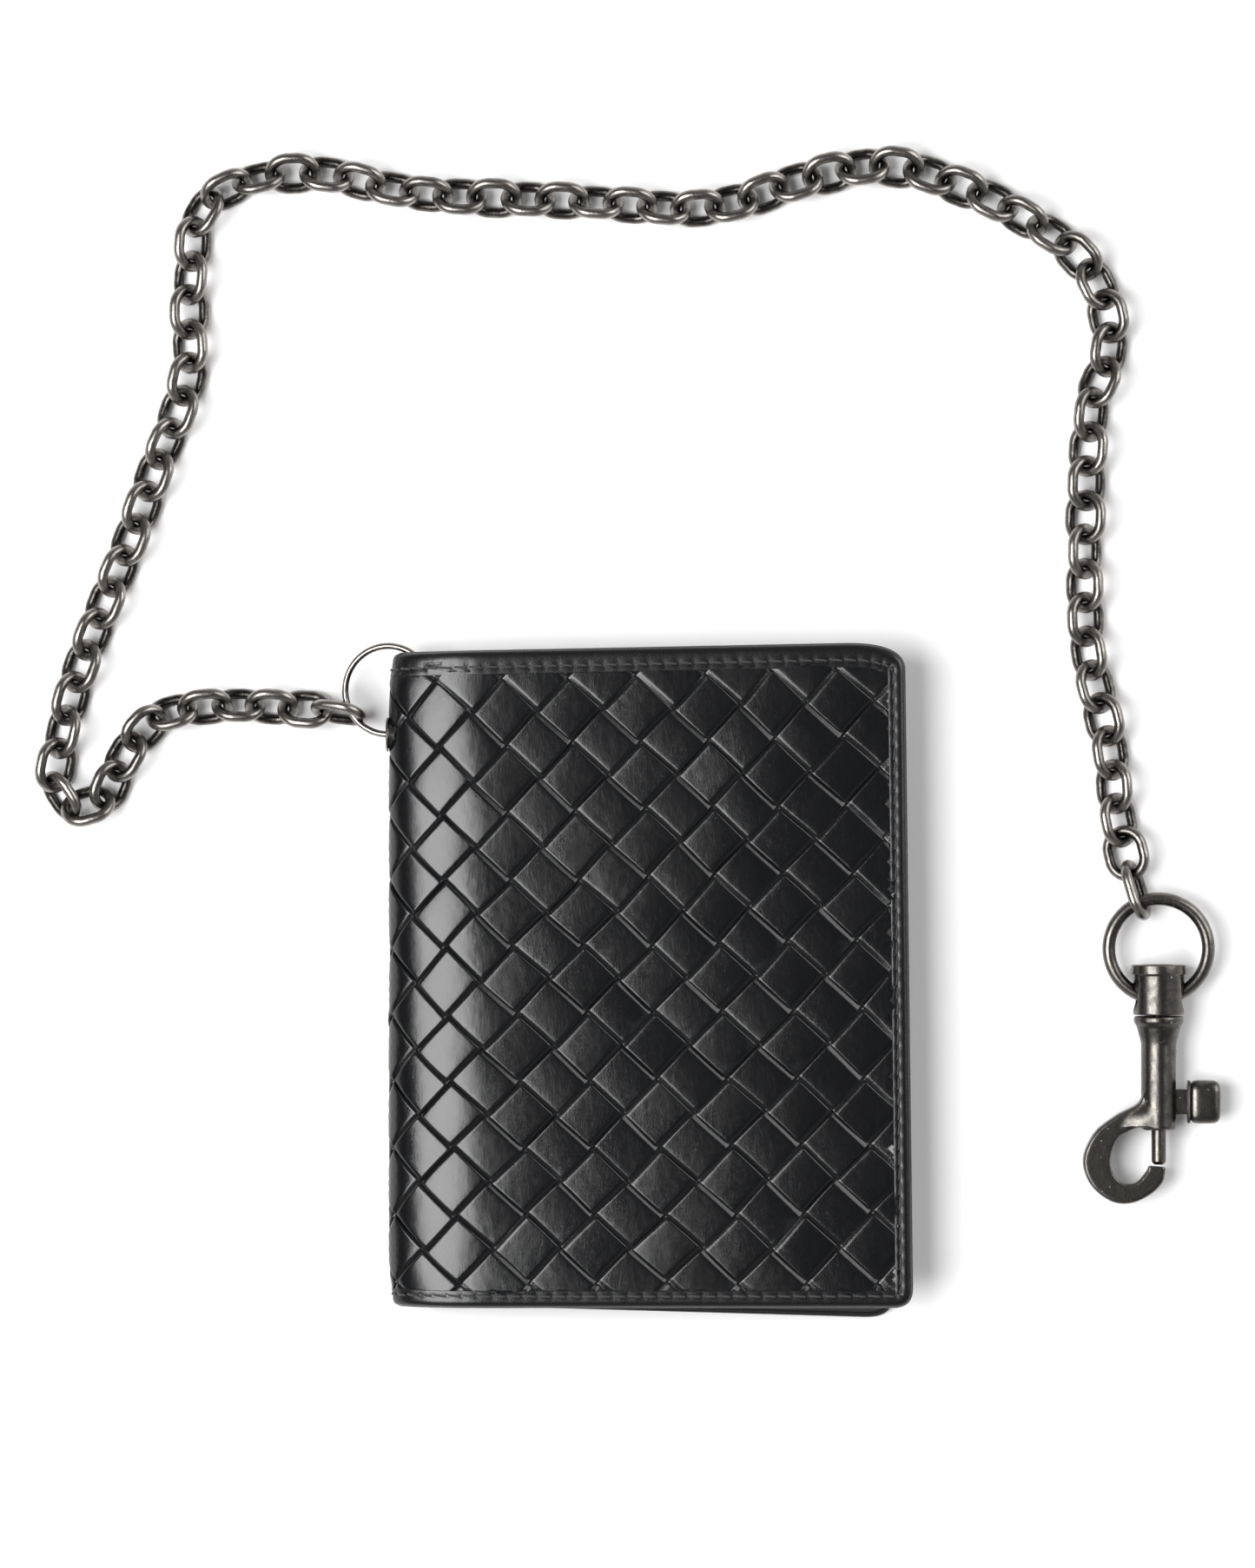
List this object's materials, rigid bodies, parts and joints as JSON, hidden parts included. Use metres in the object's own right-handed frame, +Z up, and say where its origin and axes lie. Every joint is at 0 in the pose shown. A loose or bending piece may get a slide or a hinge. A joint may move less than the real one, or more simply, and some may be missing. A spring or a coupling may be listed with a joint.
{
  "type": "chain wallet",
  "caption": "Closed bifold wallet of woven dark leather with a cable chain from a ring in its spine to a swivel bolt snap hook.",
  "frame": {"origin": "centre of the wallet's flat underside, the wallet lying closed with its front cover on top", "axes": "+Z up through the thickness, +Y up along the spine to the end with the ring, +X from the spine to the free edges"},
  "size_m": [0.2182, 0.2158, 0.0156],
  "materials": {
    "woven_leather": "smooth near-black strips in a diagonal plain weave, semi-gloss",
    "smooth_leather": "smooth near-black, semi-gloss, painted edges",
    "lining_leather": "matte, fine grain",
    "stiffener_board": "bonded leather board, raw",
    "polished_steel": "bright polished",
    "chain_metal": "antiqued dark nickel, worn brighter on its high spots",
    "clasp_metal": "antiqued dark nickel, scratched faces",
    "spring_steel": "plain"
  },
  "bodies": {
    "back_half": {"woven_shell_back": "woven_leather", "edge_binding_back": "smooth_leather", "stiffener_back": "stiffener_board", "lining_back": "lining_leather", "bill_divider_back": "smooth_leather", "card_slot_1_back": "smooth_leather", "card_slot_2_back": "smooth_leather", "card_slot_3_back": "smooth_leather", "spine_eyelet": "polished_steel"},
    "front_half": {"woven_shell_front": "woven_leather", "edge_binding_front": "smooth_leather", "stiffener_front": "stiffener_board", "lining_front": "lining_leather", "bill_divider_front": "smooth_leather", "card_slot_1_front": "smooth_leather", "card_slot_2_front": "smooth_leather", "card_slot_3_front": "smooth_leather"},
    "spine_ring": {"spine_ring": "polished_steel"},
    "chain_01": {"chain_links_01": "chain_metal"},
    "chain_02": {"chain_links_02": "chain_metal"},
    "chain_03": {"chain_links_03": "chain_metal"},
    "chain_04": {"chain_links_04": "chain_metal"},
    "chain_05": {"chain_links_05": "chain_metal"},
    "chain_06": {"chain_links_06": "chain_metal"},
    "chain_07": {"chain_links_07": "chain_metal"},
    "chain_08": {"chain_links_08": "chain_metal"},
    "chain_09": {"chain_links_09": "chain_metal"},
    "chain_10": {"chain_links_10": "chain_metal"},
    "chain_11": {"chain_links_11": "chain_metal"},
    "chain_12": {"chain_links_12": "chain_metal"},
    "chain_13": {"chain_links_13": "chain_metal"},
    "chain_14": {"chain_links_14": "chain_metal"},
    "chain_15": {"chain_links_15": "chain_metal"},
    "chain_16": {"chain_links_16": "chain_metal"},
    "chain_17": {"chain_links_17": "chain_metal"},
    "chain_18": {"chain_links_18": "chain_metal"},
    "chain_19": {"chain_links_19": "chain_metal"},
    "chain_20": {"chain_links_20": "chain_metal"},
    "chain_21": {"chain_links_21": "chain_metal"},
    "chain_22": {"chain_links_22": "chain_metal"},
    "chain_23": {"chain_links_23": "chain_metal"},
    "chain_24": {"chain_links_24": "chain_metal"},
    "chain_25": {"chain_links_25": "chain_metal"},
    "key_ring": {"key_ring": "clasp_metal"},
    "swivel_barrel": {"swivel_barrel": "clasp_metal"},
    "clasp_body": {"hook_body": "clasp_metal", "swivel_post": "clasp_metal", "bolt_spring": "spring_steel"},
    "bolt": {"spring_bolt": "clasp_metal", "thumb_knob": "clasp_metal"}
  },
  "joints": [
    {"name": "cover_hinge", "type": "hinge", "parent": "back_half", "child": "front_half", "pos_m": [-0.04591, 0, 0.01332], "axis": [0, 1, 0], "range_deg": [-180, 0]},
    {"name": "eyelet_ring_swing", "type": "hinge", "parent": "back_half", "child": "spine_ring", "pos_m": [-0.047, 0.0451, 0.0078], "axis": [0, 1, 0], "range_deg": [0, 20]},
    {"name": "link_01_swing", "type": "hinge", "parent": "spine_ring", "child": "chain_01", "pos_m": [-0.055, 0.04895, 0.00635], "axis": [0, 0, 1], "range_deg": [-5, 30]},
    {"name": "link_02_swing", "type": "hinge", "parent": "chain_01", "child": "chain_02", "pos_m": [-0.07291, 0.05055, 0.00336], "axis": [0, 0, -1], "range_deg": [-30, 30]},
    {"name": "link_03_lift", "type": "hinge", "parent": "chain_02", "child": "chain_03", "pos_m": [-0.09127, 0.04845, 0.0035], "axis": [-0.518, 0.8554, 0], "range_deg": [0, 30]},
    {"name": "link_04_swing", "type": "hinge", "parent": "chain_03", "child": "chain_04", "pos_m": [-0.10079, 0.03284, 0.0035], "axis": [0, 0, -1], "range_deg": [-30, 5]},
    {"name": "link_05_swing", "type": "hinge", "parent": "chain_04", "child": "chain_05", "pos_m": [-0.10915, 0.0426, 0.0035], "axis": [0, 0, 1], "range_deg": [-30, 30]},
    {"name": "link_06_swing", "type": "hinge", "parent": "chain_05", "child": "chain_06", "pos_m": [-0.10406, 0.06076, 0.0035], "axis": [0, 0, 1], "range_deg": [-25, 30]},
    {"name": "link_07_lift", "type": "hinge", "parent": "chain_06", "child": "chain_07", "pos_m": [-0.09704, 0.07828, 0.0035], "axis": [0.9317, -0.3631, 0], "range_deg": [0, 30]},
    {"name": "link_08_swing", "type": "hinge", "parent": "chain_07", "child": "chain_08", "pos_m": [-0.09072, 0.09607, 0.0035], "axis": [0, 0, -1], "range_deg": [-30, 15]},
    {"name": "link_09_swing", "type": "hinge", "parent": "chain_08", "child": "chain_09", "pos_m": [-0.08478, 0.11388, 0.0035], "axis": [0, 0, -1], "range_deg": [-30, 15]},
    {"name": "link_10_swing", "type": "hinge", "parent": "chain_09", "child": "chain_10", "pos_m": [-0.08465, 0.13271, 0.0035], "axis": [0, 0, 1], "range_deg": [-15, 30]},
    {"name": "link_11_lift", "type": "hinge", "parent": "chain_10", "child": "chain_11", "pos_m": [-0.07529, 0.14733, 0.0035], "axis": [0.344, -0.939, 0], "range_deg": [0, 30]},
    {"name": "link_12_swing", "type": "hinge", "parent": "chain_11", "child": "chain_12", "pos_m": [-0.05655, 0.1483, 0.0035], "axis": [0, 0, 1], "range_deg": [-10, 30]},
    {"name": "link_13_swing", "type": "hinge", "parent": "chain_12", "child": "chain_13", "pos_m": [-0.03819, 0.1448, 0.0035], "axis": [0, 0, -1], "range_deg": [-30, 10]},
    {"name": "link_14_swing", "type": "hinge", "parent": "chain_13", "child": "chain_14", "pos_m": [-0.01929, 0.14409, 0.0035], "axis": [0, 0, -1], "range_deg": [-30, 10]},
    {"name": "link_15_lift", "type": "hinge", "parent": "chain_14", "child": "chain_15", "pos_m": [-0.00048, 0.14282, 0.0035], "axis": [-0.0538, -0.9986, 0], "range_deg": [0, 30]},
    {"name": "link_16_swing", "type": "hinge", "parent": "chain_15", "child": "chain_16", "pos_m": [0.01824, 0.14412, 0.0035], "axis": [0, 0, 1], "range_deg": [-10, 30]},
    {"name": "link_17_swing", "type": "hinge", "parent": "chain_16", "child": "chain_17", "pos_m": [0.03627, 0.14968, 0.0035], "axis": [0, 0, 1], "range_deg": [-10, 30]},
    {"name": "link_18_swing", "type": "hinge", "parent": "chain_17", "child": "chain_18", "pos_m": [0.05475, 0.14759, 0.0035], "axis": [0, 0, -1], "range_deg": [-30, 10]},
    {"name": "link_19_lift", "type": "hinge", "parent": "chain_18", "child": "chain_19", "pos_m": [0.07164, 0.13925, 0.0035], "axis": [-0.539, -0.8423, 0], "range_deg": [0, 30]},
    {"name": "link_20_swing", "type": "hinge", "parent": "chain_19", "child": "chain_20", "pos_m": [0.08413, 0.12561, 0.0035], "axis": [0, 0, -1], "range_deg": [-30, 10]},
    {"name": "link_21_swing", "type": "hinge", "parent": "chain_20", "child": "chain_21", "pos_m": [0.08193, 0.1075, 0.0035], "axis": [0, 0, 1], "range_deg": [-15, 30]},
    {"name": "link_22_swing", "type": "hinge", "parent": "chain_21", "child": "chain_22", "pos_m": [0.08068, 0.08843, 0.0035], "axis": [0, 0, 1], "range_deg": [-15, 30]},
    {"name": "link_23_lift", "type": "hinge", "parent": "chain_22", "child": "chain_23", "pos_m": [0.08048, 0.06958, 0.0035], "axis": [-0.9995, -0.0325, 0], "range_deg": [0, 30]},
    {"name": "link_24_swing", "type": "hinge", "parent": "chain_23", "child": "chain_24", "pos_m": [0.08326, 0.05097, 0.0035], "axis": [0, 0, -1], "range_deg": [-30, 25]},
    {"name": "link_25_swing", "type": "hinge", "parent": "chain_24", "child": "chain_25", "pos_m": [0.0861, 0.03238, 0.0035], "axis": [0, 0, -1], "range_deg": [-30, 30]},
    {"name": "key_ring_swing", "type": "hinge", "parent": "chain_25", "child": "key_ring", "pos_m": [0.09055, 0.01412, 0.00459], "axis": [0, 0, 1], "range_deg": [-30, 20]},
    {"name": "barrel_tilt", "type": "hinge", "parent": "key_ring", "child": "swivel_barrel", "pos_m": [0.094, -0.0036, 0.00505], "axis": [1, 0, 0], "range_deg": [-45, 0]},
    {"name": "clasp_swivel", "type": "hinge", "parent": "swivel_barrel", "child": "clasp_body", "pos_m": [0.094, -0.00695, 0.00505], "axis": [0, 1, 0], "continuous": true},
    {"name": "bolt_slide", "type": "slide", "parent": "clasp_body", "child": "bolt", "axis": [0, 1, 0], "range_m": [0, 0.0055], "stiffness_N_per_m": 150, "springref_m": -0.004, "deforming": ["bolt_spring"]}
  ]
}
